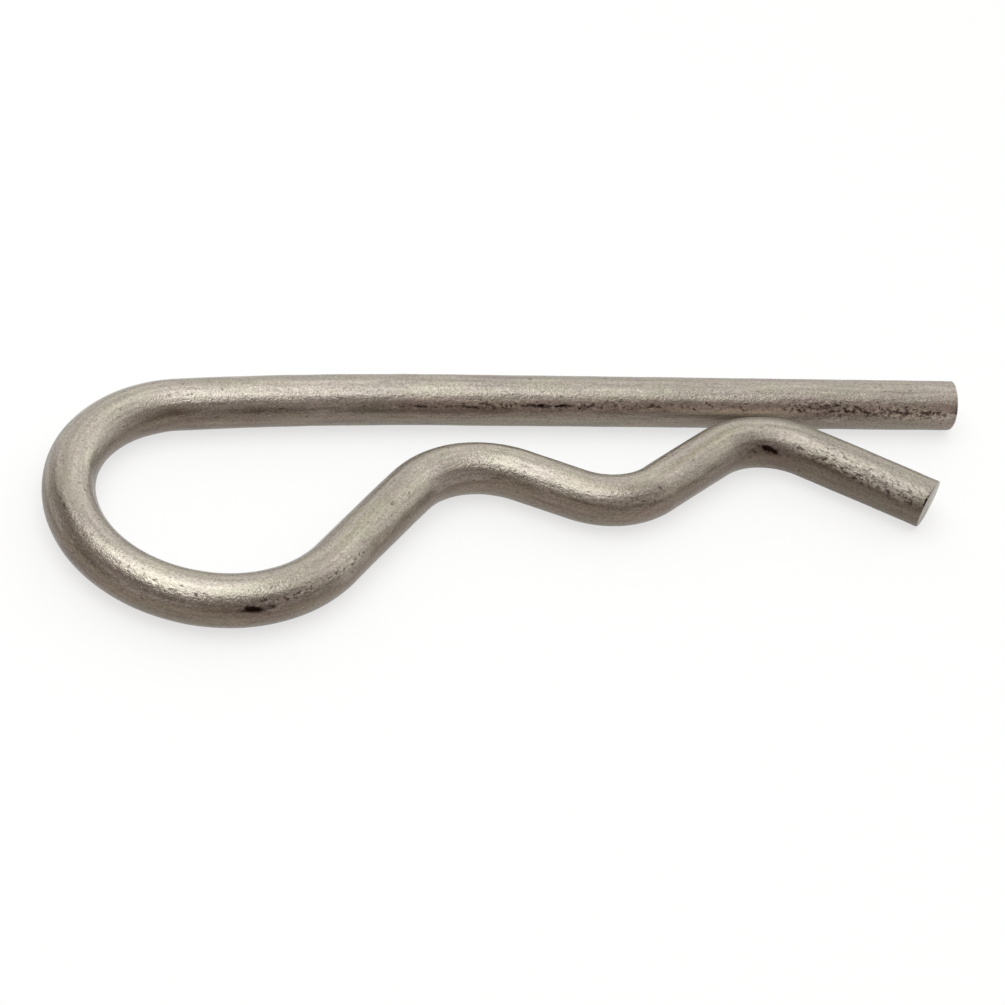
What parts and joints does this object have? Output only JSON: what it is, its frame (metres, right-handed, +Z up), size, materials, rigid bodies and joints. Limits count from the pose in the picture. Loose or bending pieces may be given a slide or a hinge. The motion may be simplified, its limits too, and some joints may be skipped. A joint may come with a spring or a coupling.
{
  "type": "hitch r clip",
  "caption": "Round spring-wire R clip with a straight leg, a round loop and a waved leg that snaps over the outside of a cross-drilled hitch pin.",
  "frame": {"origin": "under the middle of the overall length and width, on the surface that the clip lies on", "axes": "+X along the straight leg towards its free end, +Y from the waved leg towards the straight leg, +Z up, square to the plane of the clip"},
  "size_m": [0.0832, 0.029, 0.0045],
  "materials": {
    "wire": "dull zinc-plated spring steel with fine lines along the wire, small pits and dark scuffs"
  },
  "bodies": {
    "root": {"wire_clip": "wire"}
  },
  "joints": []
}
